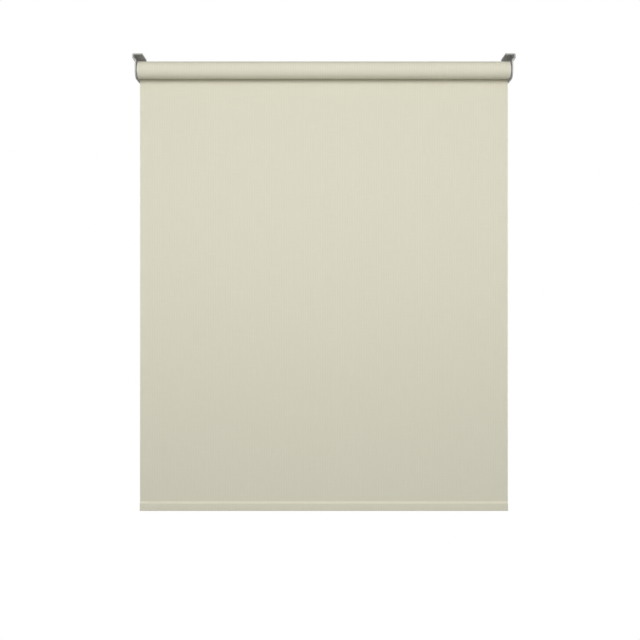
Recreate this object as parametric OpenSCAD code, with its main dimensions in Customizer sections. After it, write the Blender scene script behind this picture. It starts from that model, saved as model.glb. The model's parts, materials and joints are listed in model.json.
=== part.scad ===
// Cordless, spring-driven blackout roller blind on a pair of universal end brackets.
// Lengths are in millimetres. X runs along the roller, +Y points from the room to the window, +Z is up.
// The origin is the middle of the four top fixing holes, on the face that meets the recess.
// The hanging cloth has its middle plane at y = 0.

/* [Blind] */
// Width over the outer faces of the two brackets
blind_w = 900; // [500:1:2000]
// Height from the mounting face to the bottom of the hem
drop = 1080; // [500:1:2500]

/* [Cloth] */
// Thickness of the coated blackout cloth
cloth_t = 0.5; // [0.3:0.05:0.8]
// Air between neighbouring turns on the tube
turn_gap = 0.08; // [0.04:0.01:0.2]
// Whole spare turns that stay on the tube when the blind is down
spare_turns = 1; // [1:1:5]

/* [Roller tube] */
// Outside diameter of the tube
tube_d = 38; // [32:1:60]
// Wall of the tube
tube_wall = 1.4; // [1:0.1:2.4]
// Diameter of the rod that locks the cloth in the tube's keyhole groove
spline_d = 2.8; // [2:0.1:4]
// Metal between the groove's round pocket and the surface of the tube
groove_lip = 0.7; // [0.5:0.1:1.4]
// Wall of the groove inside the tube
groove_wall = 1.3; // [0.8:0.1:2]
// Width of the groove's mouth
groove_mouth = 1.6; // [1.2:0.1:2.4]

/* [Brackets] */
// Thickness of the bracket's walls
plate_t = 3; // [2:0.1:3.8]
// Width of the top and back flanges
flange_w = 24; // [20:1:40]
// Height of the outer lip above the joggle
lip_h = 12; // [8:0.5:16]
// Inward step of the arm
jog = 6; // [3:0.5:9]
// Inside radius of the bracket's bends
bend_r = 1.5; // [0.5:0.1:3]
// Radius of the free corners of the two flanges
corner_r = 4; // [1:0.5:6]
// Distance from the cloth to the face that meets a wall
wall_gap = 24; // [20:1:60]
// How far the arm's round end stands out past the roll
front_margin = 0.8; // [0:0.1:6]
// Free height above the fully wound roll
full_air = 7.5; // [3:0.5:30]
// Diameter of the fixing holes
fix_d = 4.5; // [3:0.1:5.5]
// Distance from a fixing hole to the inner edge of its flange
fix_edge = 6; // [5:0.5:8]
// Distance between the two holes of a flange
fix_pitch = 26; // [16:1:28]

/* [Roller ends] */
// Gap between an arm and the rim of its crown
face_gap = 1.5; // [1:0.1:3]
// Thickness of the crown's rim
crown_rim = 1.5; // [1:0.1:3]
// Thickness of the crown's end wall
web_t = 3.5; // [2:0.1:5]
// Wall of the crown's outer sleeve
sleeve_t = 2; // [1.2:0.1:2.6]
// Wall of the crown's hub
hub_wall = 1.5; // [1:0.1:2.4]
// Thickness of the ribs between hub and sleeve
rib_t = 1.6; // [1:0.1:3]
// Number of ribs in a crown
rib_count = 6; // [3:1:10]
// How far the tang and the pin stand out of the arms
end_out = 1.5; // [0.5:0.1:2.5]

/* [Spring end] */
// Thickness of the flat tang
tang_w = 4; // [3:0.5:6]
// Height of the flat tang
tang_h = 8; // [6:0.5:12]
// Step from the brake drum up to the plug's collar
collar_step = 3; // [1:0.5:5]
// Length of the crown inside the tube
crown_len = 24; // [22:1:40]
// Wire of the wrap spring that brakes the roller
wrap_wire = 1.2; // [0.8:0.1:1.5]
// Turns of the wrap spring
wrap_turns = 6; // [3:1:9]
// Diameter of the spring shaft
shaft_d = 6; // [4:0.5:8]
// Depth of the shaft's socket in the plug
socket_depth = 12; // [8:1:18]
// Thickness of the anchor's flange
anchor_t = 5; // [4:0.5:10]
// Diameter of the cross pin through anchor and shaft
anchor_pin_d = 2.5; // [1.5:0.1:3]
// Wire of the torsion spring
spring_wire = 1.6; // [1:0.1:2.2]
// Turns of the torsion spring
spring_turns = 30; // [15:1:40]
// Advance of the torsion spring in one turn
spring_pitch = 5; // [3:0.1:8]
// Room between the torsion spring and the groove's wall
spring_air = 2.4; // [1:0.1:4]
// Length of the seats that centre the torsion spring's ends
seat_len = 10; // [6:1:20]
// Length of the plug that the torsion spring drives
drive_len = 18; // [12:1:40]
// Thickness of the shaft's retaining clip
clip_t = 1; // [0.6:0.1:2]
// Width of the retaining clip's ring
clip_ring = 2.4; // [1.5:0.1:4]
// Depth of the clip's groove in the shaft
clip_depth = 0.5; // [0.3:0.1:0.9]
// Shaft left past the clip
shaft_tail = 3; // [1:0.5:10]

/* [Pin end] */
// Length of the crown inside the tube
idle_len = 30; // [26:1:50]
// Diameter of the sprung pin
pin_d = 6; // [4:0.5:7]
// Step from the pin up to its collar
pin_step = 2; // [1.5:0.1:3]
// Thickness of the pin's collar
pin_collar_t = 3; // [2:0.5:5]
// Diameter of the pin's tail
pin_tail_d = 4; // [2.5:0.5:4.5]
// Wire of the pin's spring
pin_wire = 0.8; // [0.5:0.1:1]
// Turns of the pin's spring
pin_turns = 7; // [4:1:9]
// Thickness of the cap that holds the pin's spring
pin_cap_t = 3; // [2:0.5:5]

/* [Hem] */
// Height of the hem
hem_h = 22.5; // [20:0.5:45]
// Depth of the hem from front to back
hem_d = 6; // [5:0.5:12]
// Height of the sloped front at the top of the hem
hem_slope_h = 5; // [4:0.5:10]
// Radius of the hem's lower edges
hem_r = 2; // [1:0.1:2.4]
// Height of the welded band above the hem's pocket
weld_h = 6; // [3:0.5:15]
// Wall of the hem bar
bar_wall = 1.2; // [0.8:0.1:1.5]
// Thickness of the hem caps' end plates
cap_t = 1.5; // [1:0.1:4]
// Length of the hem caps' plugs
cap_plug = 14; // [8:1:30]

/* [Fits] */
// Radial room of pieces that turn or slide on each other
run_fit = 0.05; // [0.02:0.01:0.1]
// Radial room of pieces that are pushed together
push_fit = 0.1; // [0.05:0.01:0.2]
// Room around the cloth in its pockets
cloth_fit = 0.15; // [0.1:0.01:0.2]
// Room between end faces that turn past each other
end_fit = 0.2; // [0.1:0.05:0.4]

/* [Hidden] */
$fn = 96;

// Colours as the eye meets them
cloth_c = [0.86, 0.84, 0.77];
bracket_c = [0.68, 0.68, 0.67];
plastic_c = [0.90, 0.90, 0.88];
steel_c = [0.62, 0.63, 0.65];
alloy_c = [0.80, 0.81, 0.82];

// Places along the roller, counted outwards from the middle of the blind
x_out = blind_w / 2;
arm_out = x_out - jog;
arm_in = arm_out - plate_t;
crown_face = arm_in - face_gap;
tube_end = crown_face - crown_rim;
fix_x = x_out - flange_w + fix_edge;

// Roll of cloth: half turns about two centres, so that each turn grows by one pitch
pitch = cloth_t + turn_gap;
half_turns = 2 * spare_turns + 1;
tube_r = tube_d / 2;
core_r = tube_r + turn_gap + cloth_t;
roll_r = core_r + half_turns * pitch / 2 + pitch / 4;
full_r = sqrt(roll_r * roll_r + drop * pitch / PI);

// Joggle of the bracket: a slope that goes 4 inwards for every 3 down, and the direction square to it
jog_dir = [0.8, 0.6];
jog_side = [jog_dir[1], -jog_dir[0]];
jog_h = jog * jog_dir[1] / jog_dir[0];
half_tan = jog_dir[0] / (1 + jog_dir[1]);

// Bends of the bracket's wall, with the lip long enough for the two on it, and their centres in X and Z
bend_in = min(bend_r, floor(10 * (lip_h / (1 + half_tan) - plate_t) - 1) / 10);
bend_out = bend_in + plate_t;
bend_mid = bend_in + plate_t / 2;
top_bend = [x_out - bend_out, -bend_out];
lip_bend = [x_out - bend_out, bend_out * half_tan - lip_h];
arm_bend = [arm_out + bend_in, -lip_h - jog_h - bend_in * half_tan];

// Axis of the roller and the bracket around it
axis_y = cloth_t / 2 - roll_r;
axis_z = -(plate_t + full_air + full_r);
arm_r = roll_r + front_margin;
bracket_front = axis_y - arm_r;
arm_bottom = axis_z - arm_r;

// Keyhole groove of the tube, at the bottom of its section
spline_r = spline_d / 2;
loop_r = spline_r + run_fit;
pocket_r = loop_r + cloth_t + cloth_fit;
groove_r = tube_r - groove_lip - pocket_r;
boss_r = pocket_r + groove_wall;
groove_reach = groove_r - boss_r;

// Facets of the coils: straight steps in a turn, and sides of the wire
coil_steps = 12;
coil_sides = 5;
wrap_steps = 24;
pin_steps = 16;
fine_sides = 6;
function coil_bore(mean_r, wire, steps) = (mean_r - wire / 2) * cos(180 / steps);

// Pieces that fit inside the tube
insert_r = tube_r - tube_wall - push_fit;
notch_air = 0.3;
hub_r = groove_reach - push_fit - notch_air;
brake_r = hub_r - hub_wall;
wrap_mean_r = brake_r - push_fit - wrap_wire / 2;
drum_r = coil_bore(wrap_mean_r, wrap_wire, wrap_steps) - push_fit;
coil_mean_r = groove_reach - spring_air - spring_wire / 2;
seat_r = coil_bore(coil_mean_r, spring_wire, coil_steps) - push_fit;
coil_out_r = coil_mean_r + spring_wire / 2;
shaft_r = shaft_d / 2;

// Places of the spring end's pieces along the roller
crown_in = tube_end - crown_len;
wrap_lead = 1.5;
wrap_pitch = wrap_wire + push_fit;
wrap_start = tube_end - web_t + crown_rim - wrap_lead - wrap_wire / 2;
socket_end = crown_in + socket_depth;
anchor_out = crown_in - end_fit;
anchor_face = anchor_out - anchor_t;
coil_start = anchor_face - spring_wire / 2 - push_fit;
coil_end = coil_start - spring_turns * spring_pitch;
drive_face = coil_end - spring_wire / 2 - push_fit;
drive_in = drive_face - drive_len;
clip_out = drive_in - end_fit;
clip_in = clip_out - clip_t;
shaft_in = clip_in - shaft_tail;

// Places of the pin end's pieces along the roller
idle_in = tube_end - idle_len;
pin_r = pin_d / 2;
collar_r = pin_r + pin_step;
pocket_pin_r = collar_r + push_fit;
pin_hub_r = pocket_pin_r + hub_wall;
pin_seat = crown_face - web_t;
pin_stop = pin_seat - pin_collar_t;
pin_cap_face = idle_in + pin_cap_t;
pin_coil_r = collar_r - pin_wire / 2 - push_fit;

// Hem, with heights counted from the top of its pocket
hem_top = hem_h - drop;
hem_back = cloth_t * 3 / 2;
hem_front = hem_back - hem_d;
hem_lean = (-cloth_t / 2 - hem_front) / hem_slope_h;
lean_grow = sqrt(1 + hem_lean * hem_lean);
bar_in = cloth_t + cloth_fit;

// Shared shapes

// Extrudes a section drawn in Y and Z from one place along the roller to another.
module along_x(from, to) {
  translate([from, 0, 0]) rotate([90, 0, 90]) linear_extrude(to - from) children();
}

// Moves what is drawn about the X axis onto the roller's axis.
module on_axis() {
  translate([0, axis_y, axis_z]) children();
}

// Round bar about the X axis.
module bar_x(r, from, to) {
  translate([from, 0, 0]) rotate([0, 90, 0]) cylinder(r = r, h = to - from);
}

// One round of points on a coil's wire.
function wire_ring(turn, mean_r, wire, start, lead, sides) = [
  for (side = [0 : sides - 1])
    let (
      spread = mean_r + wire / 2 * cos(360 * side / sides),
      step = wire / 2 * sin(360 * side / sides)
    )
    [start - lead * turn + step, spread * cos(360 * turn), spread * sin(360 * turn)]
];

// Coil spring about the X axis that starts at one place and winds towards the middle of the blind.
module coil(mean_r, wire, start, lead, turns, steps, sides) {
  rings = turns * steps;
  points = [
    for (ring = [0 : rings]) each wire_ring(ring / steps, mean_r, wire, start, lead, sides)
  ];
  walls = [
    for (ring = [0 : rings - 1], side = [0 : sides - 1])
      let (
        here = ring * sides + side,
        next = ring * sides + (side + 1) % sides
      )
      each [[here, next, next + sides], [here, next + sides, here + sides]]
  ];
  first_end = [for (side = [0 : sides - 1]) sides - 1 - side];
  last_end = [for (side = [0 : sides - 1]) rings * sides + side];
  polyhedron(points, concat(walls, [first_end, last_end]));
}

// Half of a flat ring, above or below the axis.
module half_ring(r, thickness, above) {
  reach = r + thickness;
  intersection() {
    difference() {
      circle(r);
      circle(r - thickness);
    }
    translate([-reach, above ? 0 : -reach]) square([2 * reach, reach]);
  }
}

// Moulded insert that fills the tube: web at its outer end, hub, ribs and a notch over the groove.
module tube_insert(outer, length, web, hub) {
  inner = outer - length;
  overlap = 0.5;
  rib_from = hub - overlap;
  rib_to = insert_r - sleeve_t + overlap;
  difference() {
    union() {
      bar_x(insert_r, outer - web, outer);
      difference() {
        bar_x(insert_r, inner, outer - web);
        bar_x(insert_r - sleeve_t, inner - overlap, outer - web);
      }
      bar_x(hub, inner, outer - web);
      for (rib = [0 : rib_count - 1])
        rotate([rib * 360 / rib_count, 0, 0])
          translate([inner, rib_from, -rib_t / 2]) cube([length - web, rib_to - rib_from, rib_t]);
    }
    translate([0, 0, -groove_r]) bar_x(boss_r + push_fit, inner - overlap, outer + overlap);
  }
}

// Insert with the rim that stops it at the end of the tube.
module crown(length, hub) {
  union() {
    tube_insert(tube_end, length, web_t - crown_rim, hub);
    bar_x(tube_r, tube_end, crown_face);
  }
}

// Brackets

// Bend of the bracket's wall about a centre, between two directions.
module wall_bend(from, to) {
  reach = 2 * bend_out;
  intersection() {
    difference() {
      circle(bend_out);
      circle(bend_in);
    }
    polygon([[0, 0], reach * from, reach * to]);
  }
}

// Section of the right bracket in X and Z: flange, lip, joggle and arm in one bent wall.
module bracket_section() {
  lip_end = lip_bend + bend_out * jog_side;
  arm_start = arm_bend - bend_in * jog_side;
  inward = -plate_t * jog_side;
  union() {
    translate([x_out - flange_w, -plate_t]) square([flange_w - bend_out, plate_t]);
    translate(top_bend) wall_bend([1, 0], [0, 1]);
    translate([x_out - plate_t, lip_bend[1]]) square([plate_t, top_bend[1] - lip_bend[1]]);
    translate(lip_bend) wall_bend(jog_side, [1, 0]);
    polygon([lip_end, lip_end + inward, arm_start + inward, arm_start]);
    translate(arm_bend) wall_bend(-jog_side, [-1, 0]);
    translate([arm_in, arm_bottom]) square([plate_t, arm_bend[1] - arm_bottom]);
  }
}

// Outline of the back flange in X and Z, which ends in the middle of the bent wall.
module back_outline() {
  polygon([
    [x_out - flange_w, arm_bottom],
    [x_out - flange_w, -plate_t / 2],
    top_bend + bend_mid * [0, 1],
    top_bend + bend_mid * [jog_dir[1], jog_dir[0]],
    top_bend + bend_mid * [1, 0],
    lip_bend + bend_mid * [1, 0],
    lip_bend + bend_mid * jog_side,
    arm_bend - bend_mid * jog_side,
    arm_bend - bend_mid * [1, 0],
    [arm_in + plate_t / 2, arm_bottom]
  ]);
}

// Waste outside a round corner, drawn with the corner at the origin and the wall towards +X and +Y.
module corner_waste(r, depth) {
  spare = 1;
  translate([0, 0, -spare]) linear_extrude(depth + 2 * spare) difference() {
    translate([-spare, -spare]) square(r + spare);
    translate([r, r]) circle(r);
  }
}

// Waste outside the arm's round lower front corner.
module arm_corner_waste() {
  spare = 1;
  reach = arm_r + spare;
  on_axis() along_x(arm_in - spare, arm_out + spare) difference() {
    translate([-reach, -reach]) square(reach);
    circle(arm_r);
  }
}

// Right bracket with its fixing holes and no hole for the roller.
module bracket_blank() {
  spare = 1;
  difference() {
    union() {
      translate([0, wall_gap, 0]) rotate([90, 0, 0])
        linear_extrude(wall_gap - bracket_front) bracket_section();
      translate([0, wall_gap, 0]) rotate([90, 0, 0]) linear_extrude(plate_t) back_outline();
    }
    arm_corner_waste();
    translate([x_out - flange_w, bracket_front, -plate_t]) corner_waste(corner_r, plate_t);
    translate([x_out - flange_w, wall_gap, arm_bottom]) rotate([90, 0, 0])
      corner_waste(corner_r, plate_t);
    for (side = [-1, 1]) {
      translate([fix_x, side * fix_pitch / 2, -plate_t - spare])
        cylinder(d = fix_d, h = plate_t + 2 * spare);
      translate([fix_x, wall_gap + spare, (arm_bottom + side * fix_pitch) / 2])
        rotate([90, 0, 0]) cylinder(d = fix_d, h = plate_t + 2 * spare);
    }
  }
}

module spring_bracket() {
  slot_w = tang_w + 2 * push_fit;
  slot_h = tang_h + 2 * push_fit;
  color(bracket_c) mirror([1, 0, 0]) difference() {
    bracket_blank();
    on_axis() translate([arm_in - 1, -slot_w / 2, -slot_h / 2]) cube([plate_t + 2, slot_w, slot_h]);
  }
}

module idle_bracket() {
  color(bracket_c) difference() {
    bracket_blank();
    on_axis() bar_x(pin_r + push_fit, arm_in - 1, arm_out + 1);
  }
}

// Spring end, drawn on the right and mirrored to the left

module tang_plug() {
  color(plastic_c) mirror([1, 0, 0]) on_axis() difference() {
    union() {
      translate([arm_in, -tang_w / 2, -tang_h / 2]) cube([plate_t + end_out, tang_w, tang_h]);
      bar_x(drum_r + collar_step, crown_face + end_fit, arm_in);
      bar_x(drum_r, crown_in, crown_face + end_fit);
    }
    bar_x(shaft_r + run_fit, crown_in - 1, socket_end);
  }
}

module spring_shaft() {
  color(steel_c) mirror([1, 0, 0]) on_axis() difference() {
    bar_x(shaft_r, shaft_in, socket_end - end_fit);
    difference() {
      bar_x(shaft_r + 1, clip_in - run_fit, clip_out + run_fit);
      bar_x(shaft_r - clip_depth, clip_in - 1, clip_out + 1);
    }
    translate([(anchor_out + anchor_face) / 2, 0, 0])
      cylinder(d = anchor_pin_d + 2 * run_fit, h = shaft_d + 2, center = true);
  }
}

module spring_anchor() {
  color(plastic_c) mirror([1, 0, 0]) on_axis() difference() {
    union() {
      bar_x(coil_out_r, anchor_face, anchor_out);
      bar_x(seat_r, anchor_face - seat_len, anchor_face);
    }
    bar_x(shaft_r + run_fit, anchor_face - seat_len - 1, anchor_out + 1);
    translate([(anchor_out + anchor_face) / 2, 0, 0])
      cylinder(d = anchor_pin_d + 2 * run_fit, h = 2 * coil_out_r + 2, center = true);
  }
}

module anchor_pin() {
  color(steel_c) mirror([1, 0, 0]) on_axis()
    translate([(anchor_out + anchor_face) / 2, 0, 0])
      cylinder(d = anchor_pin_d, h = 2 * coil_out_r - 1, center = true);
}

module torsion_spring() {
  color(steel_c) mirror([1, 0, 0]) on_axis()
    coil(coil_mean_r, spring_wire, coil_start, spring_pitch, spring_turns, coil_steps, coil_sides);
}

module shaft_clip() {
  groove_in = shaft_r - clip_depth + run_fit;
  mouth = groove_in * 1.5;
  color(steel_c) mirror([1, 0, 0]) on_axis() difference() {
    bar_x(groove_in + clip_ring, clip_in, clip_out);
    bar_x(groove_in, clip_in - 1, clip_out + 1);
    translate([clip_in - 1, -mouth / 2, 0]) cube([clip_t + 2, mouth, groove_in + clip_ring + 1]);
  }
}

module spring_crown() {
  color(plastic_c) mirror([1, 0, 0]) on_axis() difference() {
    crown(crown_len, hub_r);
    bar_x(brake_r, crown_in - 1, crown_face - web_t);
    bar_x(drum_r + run_fit, crown_in - 1, crown_face + 1);
  }
}

module wrap_spring() {
  color(steel_c) mirror([1, 0, 0]) on_axis()
    coil(wrap_mean_r, wrap_wire, wrap_start, wrap_pitch, wrap_turns, wrap_steps, fine_sides);
}

module drive_plug() {
  color(plastic_c) mirror([1, 0, 0]) on_axis() difference() {
    union() {
      tube_insert(drive_face, drive_len, web_t, shaft_r + hub_wall + run_fit);
      bar_x(seat_r, drive_face, drive_face + seat_len);
    }
    bar_x(shaft_r + run_fit, drive_in - 1, drive_face + seat_len + 1);
  }
}

// Tube and cloth

module roller_tube() {
  color(alloy_c) on_axis() along_x(-tube_end, tube_end) difference() {
    union() {
      difference() {
        circle(tube_r);
        circle(tube_r - tube_wall);
      }
      intersection() {
        circle(tube_r);
        translate([0, -groove_r]) circle(boss_r);
      }
    }
    translate([0, -groove_r]) circle(pocket_r);
    translate([-groove_mouth / 2, -tube_r - 1]) square([groove_mouth, tube_r + 1 - groove_r]);
  }
}

module cloth_spline() {
  color(plastic_c) on_axis() translate([0, 0, -groove_r]) bar_x(spline_r, -tube_end, tube_end);
}

// The roll's turns, with the end of the cloth looped round the spline in the groove.
module cloth_roll() {
  tail_to = groove_r + loop_r + cloth_t / 2;
  color(cloth_c) on_axis() along_x(-tube_end, tube_end) union() {
    for (turn = [0 : half_turns - 1])
      translate([(turn % 2 == 0 ? 1 : -1) * pitch / 4, 0])
        half_ring(core_r + (half_turns - turn) * pitch / 2, cloth_t, turn % 2 == 0);
    intersection() {
      translate([-pitch / 4, 0]) half_ring(core_r, cloth_t, false);
      translate([-2 * core_r, -2 * core_r]) square([2 * core_r + cloth_t / 2, 2 * core_r]);
    }
    translate([-cloth_t / 2, cloth_t / 2 - core_r]) square([cloth_t, core_r - tail_to - cloth_t / 2]);
    translate([0, -groove_r]) difference() {
      circle(loop_r + cloth_t);
      circle(loop_r);
    }
  }
}

// Hanging cloth, a hair short of the roll above and of the hem below, because all three move.
module cloth_drop() {
  bottom = hem_top + weld_h + end_fit;
  color(cloth_c)
    translate([-tube_end, -cloth_t / 2, bottom]) cube([2 * tube_end, cloth_t, axis_z - end_fit - bottom]);
}

// Pin end

module idle_crown() {
  color(plastic_c) on_axis() difference() {
    crown(idle_len, pin_hub_r);
    bar_x(pocket_pin_r, idle_in - 1, pin_seat);
    bar_x(pin_r + run_fit, idle_in - 1, crown_face + 1);
  }
}

module pin_cap() {
  color(plastic_c) on_axis() difference() {
    bar_x(pocket_pin_r - run_fit, idle_in, pin_cap_face);
    bar_x(pin_tail_d / 2 + run_fit, idle_in - 1, pin_cap_face + 1);
  }
}

module idle_pin() {
  tip = 1;
  color(steel_c) on_axis() union() {
    translate([arm_out + end_out - tip, 0, 0]) rotate([0, 90, 0])
      cylinder(r1 = pin_r, r2 = pin_r - tip, h = tip);
    bar_x(pin_r, pin_seat, arm_out + end_out - tip);
    bar_x(collar_r, pin_stop, pin_seat);
    bar_x(pin_tail_d / 2, idle_in, pin_stop);
  }
}

module pin_spring() {
  start = pin_stop - pin_wire / 2 - push_fit;
  room = pin_stop - pin_cap_face - pin_wire - 2 * push_fit;
  color(steel_c) on_axis()
    coil(pin_coil_r, pin_wire, start, room / pin_turns, pin_turns, pin_steps, fine_sides);
}

// Hem

// Outline of the hem in Y and Z, set in from the outer face of its cloth.
module hem_outline(inset) {
  back = hem_back - inset;
  front = hem_front + inset;
  bottom = inset - hem_h;
  round_r = max(hem_r - inset, 0.3);
  face = cloth_t / 2 - inset * lean_grow;
  union() {
    polygon([
      [back, (back + face) / hem_lean],
      [front, (front + face) / hem_lean],
      [front, bottom + round_r],
      [front + round_r, bottom],
      [back - round_r, bottom],
      [back, bottom + round_r]
    ]);
    for (y = [front + round_r, back - round_r])
      translate([y, bottom + round_r]) circle(round_r);
  }
}

module cloth_hem() {
  color(cloth_c) translate([0, 0, hem_top]) along_x(-tube_end, tube_end) difference() {
    union() {
      hem_outline(0);
      translate([-cloth_t / 2, 0]) square([2 * cloth_t, weld_h]);
    }
    hem_outline(cloth_t);
  }
}

module hem_bar() {
  color(alloy_c) translate([0, 0, hem_top]) along_x(cap_t - tube_end, tube_end - cap_t) difference() {
    hem_outline(bar_in);
    hem_outline(bar_in + bar_wall);
  }
}

// Right hem cap: an end plate in the mouth of the pocket and a plug in the bar.
module hem_cap() {
  color(plastic_c) translate([0, 0, hem_top]) union() {
    along_x(tube_end - cap_t, tube_end) hem_outline(bar_in);
    along_x(tube_end - cap_t - cap_plug, tube_end - cap_t) hem_outline(bar_in + bar_wall + push_fit);
  }
}

module hem_cap_left() {
  mirror([1, 0, 0]) hem_cap();
}

module hem_cap_right() {
  hem_cap();
}

spring_bracket();
idle_bracket();
tang_plug();
spring_shaft();
spring_anchor();
anchor_pin();
torsion_spring();
shaft_clip();
spring_crown();
wrap_spring();
drive_plug();
roller_tube();
cloth_spline();
cloth_roll();
idle_crown();
pin_cap();
idle_pin();
pin_spring();
cloth_drop();
cloth_hem();
hem_bar();
hem_cap_left();
hem_cap_right();
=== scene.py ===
"""Looks of a cordless blackout roller blind: its cloth, brackets, fittings, light and camera.

Lengths are in metres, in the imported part's own frame: +X along the roller, +Y from front to back, +Z up.
"""

from __future__ import annotations

import json
import logging
import math
from collections.abc import Callable, Iterator
from contextlib import contextmanager
from dataclasses import dataclass
from enum import Enum

import bmesh
import bpy
from bpy.types import Material, Node, NodeSocket, NodeTree, Object
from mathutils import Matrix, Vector

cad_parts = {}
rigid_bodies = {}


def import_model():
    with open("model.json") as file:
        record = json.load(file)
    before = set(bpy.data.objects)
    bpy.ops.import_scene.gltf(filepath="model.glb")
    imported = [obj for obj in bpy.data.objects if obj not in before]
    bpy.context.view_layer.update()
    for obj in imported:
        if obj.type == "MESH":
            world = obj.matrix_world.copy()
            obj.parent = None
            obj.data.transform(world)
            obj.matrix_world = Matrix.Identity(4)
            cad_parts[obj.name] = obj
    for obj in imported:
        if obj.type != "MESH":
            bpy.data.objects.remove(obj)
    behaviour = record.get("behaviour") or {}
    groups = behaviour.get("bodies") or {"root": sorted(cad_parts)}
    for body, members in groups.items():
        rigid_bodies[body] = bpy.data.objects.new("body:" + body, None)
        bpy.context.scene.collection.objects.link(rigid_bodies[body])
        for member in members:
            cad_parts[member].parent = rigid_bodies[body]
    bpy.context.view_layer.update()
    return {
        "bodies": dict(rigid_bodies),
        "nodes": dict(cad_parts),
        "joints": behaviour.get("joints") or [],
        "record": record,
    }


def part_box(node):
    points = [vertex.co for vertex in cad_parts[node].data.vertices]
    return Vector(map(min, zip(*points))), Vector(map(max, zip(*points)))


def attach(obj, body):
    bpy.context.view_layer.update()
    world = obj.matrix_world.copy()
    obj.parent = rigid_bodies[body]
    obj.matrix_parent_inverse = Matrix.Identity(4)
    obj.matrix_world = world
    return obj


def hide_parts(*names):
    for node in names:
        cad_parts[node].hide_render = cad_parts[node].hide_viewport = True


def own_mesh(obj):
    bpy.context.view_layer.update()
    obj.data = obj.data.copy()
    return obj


LOG = logging.getLogger("roller_blind")
MM = 0.001
CLOTH_MAP = "cloth_uv"
# attribute for the painted highlight on the hem's slope
PAINTED_HIGHLIGHT = "painted_highlight"
WELD = "weld"
EDGE_WEAR = "edge_wear"
EASED_SLOT = 1  # the second slot, where the bevel puts its new faces
HALF = 0.5  # middle of a tone, noise or mask that goes from 0 to 1
MAP_SHIFT = 0.5  # the cube projection puts the origin in the middle of its square
FLAT_MAP = 1.0  # grain along the third axis, which a flat map doesn't use
SIDEWAYS = 0.5  # a face that leans further along X than this is a cut edge
RELIEF_STRENGTH = 0.5
WHITE = (1.0, 1.0, 1.0, 1.0)
SMOOTH_ANGLE = math.radians(30)  # edges that turn by more stay sharp
EASED_ANGLE = math.radians(50)  # the same, across an eased edge
WIRE_ANGLE = math.radians(75)  # the same, round a wire
MERGE_WITHIN = 0.002 * MM
CAP_EDGE_R = 0.3 * MM

Colour = tuple[float, float, float]
Value = NodeSocket | float | tuple


class Body(Enum):
    """Bodies of the blind that move on their own."""

    BRACKETS = "brackets"
    ROLLER = "roller"
    HEM = "hem"


class Slot(Enum):
    """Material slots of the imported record."""

    BRACKET = "bracket_plastic"
    MOULDED = "moulded_plastic"
    SHAFT = "shaft_steel"
    SPRING = "spring_steel"
    TUBE = "tube_alloy"
    CLOTH = "blackout_cloth"


class Kind(Enum):
    """Kinds of socket on a shader group."""

    VECTOR = "NodeSocketVector"
    NUMBER = "NodeSocketFloat"


def linear(colour: Colour) -> tuple[float, float, float, float]:
    """Turns a colour as the eye meets it into the shader's own scale.

    Args:
        colour: Red, green and blue from 0 to 1, as on a screen.

    Returns:
        The linear colour with full alpha.
    """
    low_end, slope, offset, power = 0.04045, 12.92, 0.055, 2.4
    parts = [
        part / slope if part <= low_end else ((part + offset) / (1 + offset)) ** power
        for part in colour
    ]
    return (*parts, 1.0)


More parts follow.
